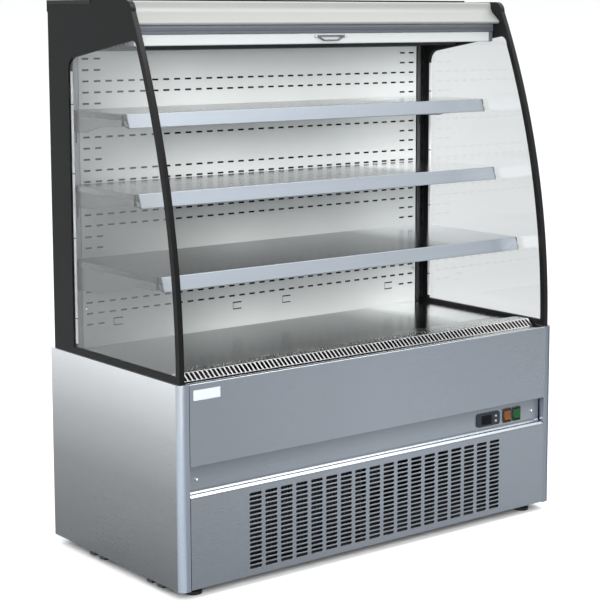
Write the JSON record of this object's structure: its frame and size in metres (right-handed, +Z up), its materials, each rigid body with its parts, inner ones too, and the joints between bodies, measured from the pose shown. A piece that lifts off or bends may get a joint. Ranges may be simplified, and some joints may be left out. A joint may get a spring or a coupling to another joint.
{
  "type": "open multideck display fridge",
  "caption": "Open-front refrigerated display cabinet with curved glass ends, shelves with price rails, air-return grille, night blind and louvred base.",
  "frame": {"origin": "centre of the footprint, on the floor", "axes": "+X to the right seen from the front, +Y to the rear, +Z up"},
  "size_m": [1.088, 0.53, 1.2473],
  "materials": {
    "base_steel_black": "black painted steel",
    "stainless_side": "brushed stainless sheet",
    "stainless_front": "brushed stainless sheet",
    "stainless_deck": "brushed stainless sheet",
    "shelf_steel": "brushed sheet",
    "white_steel": "white powder coat",
    "black_frame": "anthracite powder coat",
    "grey_trim": "light grey coat",
    "glass_clear": "clear tempered glass",
    "seal_grey": "light grey seal",
    "cream_canopy": "off-white powder coat",
    "rail_grey": "anodised grey",
    "blind_white": "extruded profile, white powder coat",
    "cap_grey": "dark grey plastic",
    "handle_chrome": "polished",
    "roller_alu": "mill finish",
    "blind_cloth": "woven reflective blind cloth",
    "rail_plastic": "satin anodised",
    "black_plastic": "black plastic",
    "controller_plastic": "dark blue-grey plastic",
    "display_glass": "smoked window",
    "key_grey": "grey keys",
    "switch_black": "black",
    "rocker_amber": "translucent amber",
    "rocker_green": "translucent green",
    "plate_blank": "blank white plate",
    "foam_panel": "foamed insulated shell",
    "galvanised": "galvanised sheet",
    "fin_aluminium": "finned block",
    "compressor_black": "black enamel",
    "copper": "copper tube",
    "fan_plastic": "moulded fan",
    "fan_alu": "pressed blades",
    "screw_steel": "zinc plated",
    "foot_black": "black glass-filled plastic on a steel stud"
  },
  "bodies": {
    "cabinet": {"floor_pan": "base_steel_black", "side_panel_left": "stainless_side", "side_panel_right": "stainless_side", "front_panel": "stainless_front", "control_panel": "stainless_front", "controller_housing": "controller_plastic", "controller_window": "display_glass", "switch_frames": "switch_black", "nameplate_blank": "plate_blank", "landing_trim": "black_plastic", "insulated_body": "foam_panel", "back_panel": "white_steel", "corner_trims": "grey_trim", "end_frame_left": "black_frame", "end_frame_right": "black_frame", "glass_left": "glass_clear", "glass_right": "glass_clear", "glazing_gaskets": "seal_grey", "roof_panel": "black_frame", "canopy_fascia": "cream_canopy", "canopy_rail": "rail_grey", "canopy_liner": "white_steel", "air_honeycomb": "black_plastic", "evaporator_coil": "fin_aluminium", "evaporator_fan_plate": "galvanised", "compressor": "compressor_black", "condenser": "fin_aluminium", "condenser_fan_cowl": "galvanised", "refrigerant_pipes": "copper", "power_inlet": "black_plastic", "rear_cover": "galvanised", "screws": "screw_steel"},
    "lower_grille": {"lower_grille_panel": "stainless_front"},
    "key_up": {"key_up": "key_grey"},
    "key_down": {"key_down": "key_grey"},
    "rocker_orange": {"rocker_orange": "rocker_amber"},
    "rocker_green": {"rocker_green": "rocker_green"},
    "blind_bar": {"blind_bar": "blind_white", "blind_end_caps": "cap_grey"},
    "blind_handle": {"blind_handle": "handle_chrome"},
    "blind_roller": {"blind_roller": "roller_alu", "blind_fabric": "blind_cloth"},
    "shelf_top": {"shelf_top_plate": "shelf_steel", "shelf_top_brackets": "shelf_steel", "shelf_top_price_rail": "rail_plastic"},
    "shelf_middle": {"shelf_middle_plate": "shelf_steel", "shelf_middle_brackets": "shelf_steel", "shelf_middle_price_rail": "rail_plastic"},
    "shelf_bottom": {"shelf_bottom_plate": "shelf_steel", "shelf_bottom_brackets": "shelf_steel", "shelf_bottom_price_rail": "rail_plastic"},
    "deck": {"deck_pan": "stainless_deck"},
    "air_return": {"air_return_grille": "stainless_deck"},
    "evaporator_fan_left": {"evaporator_fan_left": "fan_plastic"},
    "evaporator_fan_right": {"evaporator_fan_right": "fan_plastic"},
    "condenser_fan": {"condenser_fan": "fan_alu"},
    "foot_front_left": {"foot_front_left": "foot_black"},
    "foot_front_right": {"foot_front_right": "foot_black"},
    "foot_rear_left": {"foot_rear_left": "foot_black"},
    "foot_rear_right": {"foot_rear_right": "foot_black"}
  },
  "joints": [
    {"name": "blind_slide", "type": "slide", "parent": "cabinet", "child": "blind_bar", "axis": [0, -0.271, -0.9626], "range_m": [0, 0.712], "stiffness_N_per_m": 8, "springref_m": -1.5},
    {"name": "blind_handle_swing", "type": "hinge", "parent": "blind_bar", "child": "blind_handle", "pos_m": [0.01, -0.0668, 1.1655], "axis": [-1, 0, 0], "range_deg": [0, 75]},
    {"name": "blind_roller_turn", "type": "hinge", "parent": "cabinet", "child": "blind_roller", "pos_m": [0, -0.0196, 1.199], "axis": [1, 0, 0], "range_deg": [0, 2500]},
    {"name": "shelf_top_lift", "type": "slide", "parent": "cabinet", "child": "shelf_top", "axis": [0, 0, 1], "range_m": [0, 0.012]},
    {"name": "shelf_middle_lift", "type": "slide", "parent": "cabinet", "child": "shelf_middle", "axis": [0, 0, 1], "range_m": [0, 0.012]},
    {"name": "shelf_bottom_lift", "type": "slide", "parent": "cabinet", "child": "shelf_bottom", "axis": [0, 0, 1], "range_m": [0, 0.012]},
    {"name": "deck_lift", "type": "slide", "parent": "cabinet", "child": "deck", "axis": [0, 0, 1], "range_m": [0, 0.03]},
    {"name": "air_return_lift", "type": "slide", "parent": "cabinet", "child": "air_return", "axis": [0, 0, 1], "range_m": [0, 0.04]},
    {"name": "lower_grille_pull", "type": "slide", "parent": "cabinet", "child": "lower_grille", "axis": [0, -1, 0], "range_m": [0, 0.05]},
    {"name": "key_up_press", "type": "slide", "parent": "cabinet", "child": "key_up", "axis": [0, 1, 0], "range_m": [0, 0.0008], "stiffness_N_per_m": 300},
    {"name": "key_down_press", "type": "slide", "parent": "cabinet", "child": "key_down", "axis": [0, 1, 0], "range_m": [0, 0.0008], "stiffness_N_per_m": 300},
    {"name": "rocker_orange_tilt", "type": "hinge", "parent": "cabinet", "child": "rocker_orange", "pos_m": [0.409, -0.247, 0.2535], "axis": [1, 0, 0], "range_deg": [0, 14]},
    {"name": "rocker_green_tilt", "type": "hinge", "parent": "cabinet", "child": "rocker_green", "pos_m": [0.4405, -0.247, 0.2535], "axis": [1, 0, 0], "range_deg": [0, 14]},
    {"name": "evaporator_fan_left_spin", "type": "hinge", "parent": "cabinet", "child": "evaporator_fan_left", "pos_m": [-0.21, -0.05, 0.382], "axis": [0, 1, 0], "continuous": true},
    {"name": "evaporator_fan_right_spin", "type": "hinge", "parent": "cabinet", "child": "evaporator_fan_right", "pos_m": [0.21, -0.05, 0.382], "axis": [0, 1, 0], "continuous": true},
    {"name": "condenser_fan_spin", "type": "hinge", "parent": "cabinet", "child": "condenser_fan", "pos_m": [-0.1965, -0.157, 0.14], "axis": [0, 1, 0], "continuous": true},
    {"name": "foot_front_left_screw", "type": "slide", "parent": "cabinet", "child": "foot_front_left", "axis": [0, 0, -1], "range_m": [0, 0.012]},
    {"name": "foot_front_right_screw", "type": "slide", "parent": "cabinet", "child": "foot_front_right", "axis": [0, 0, -1], "range_m": [0, 0.012]},
    {"name": "foot_rear_left_screw", "type": "slide", "parent": "cabinet", "child": "foot_rear_left", "axis": [0, 0, -1], "range_m": [0, 0.012]},
    {"name": "foot_rear_right_screw", "type": "slide", "parent": "cabinet", "child": "foot_rear_right", "axis": [0, 0, -1], "range_m": [0, 0.012]}
  ],
  "couplings": [
    {"joint": "blind_roller_turn", "follows": "blind_slide", "rad_per_m": 59.2}
  ]
}
